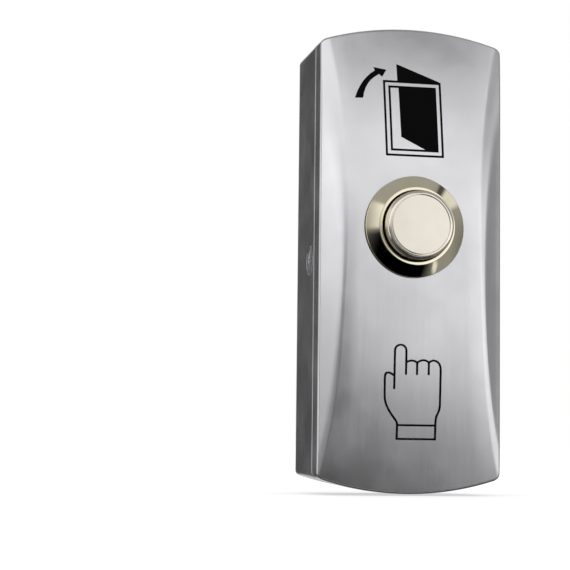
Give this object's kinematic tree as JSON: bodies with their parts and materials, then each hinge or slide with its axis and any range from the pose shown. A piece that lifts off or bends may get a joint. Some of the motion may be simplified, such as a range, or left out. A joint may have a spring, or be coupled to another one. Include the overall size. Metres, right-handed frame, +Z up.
{
  "type": "door exit button",
  "caption": "Narrow surface-mounted door exit button: satin die-cast back box and crowned front cover with a raised metal push button and printed door and hand signs.",
  "frame": {"origin": "on the wall face, at the centre of the four wall holes, which is also mid-width and mid-length", "axes": "+Z up the length, -Y out of the wall towards the person who presses the button, +X to the right seen from the front"},
  "size_m": [0.0336, 0.0256, 0.083],
  "materials": {
    "zinc_satin": "satin plated zinc casting, finely brushed",
    "nickel": "bright nickel plate, slightly warm",
    "steel": "plain zinc-plated steel",
    "rubber": "matte black",
    "black_plastic": "moulded, fine texture",
    "brass": "stamped sheet",
    "silver": "plain contact silver",
    "black_ink": "screen-printed ink, slightly glossy"
  },
  "bodies": {
    "housing": {"back_box": "zinc_satin", "front_cover": "zinc_satin", "side_screws": "steel", "button_bezel": "nickel", "bezel_gasket": "rubber", "lock_washer": "steel", "lock_nut": "nickel", "return_spring": "steel", "switch_body": "black_plastic", "terminal_base": "black_plastic", "base_snap_ring": "steel", "left_terminal": "brass", "right_terminal": "brass", "fixed_tips": "silver", "clamp_washers": "steel", "terminal_screws": "steel", "door_sign": "black_ink", "hand_sign": "black_ink"},
    "push": {"button_cap": "nickel", "plunger": "black_plastic", "plunger_clip": "steel", "contact_bridge": "brass", "bridge_tips": "silver"}
  },
  "joints": [
    {"name": "button_press", "type": "slide", "parent": "housing", "child": "push", "axis": [0, 1, 0], "range_m": [0, 0.0015], "stiffness_N_per_m": 500, "springref_m": -0.003, "deforming": ["return_spring"]}
  ]
}
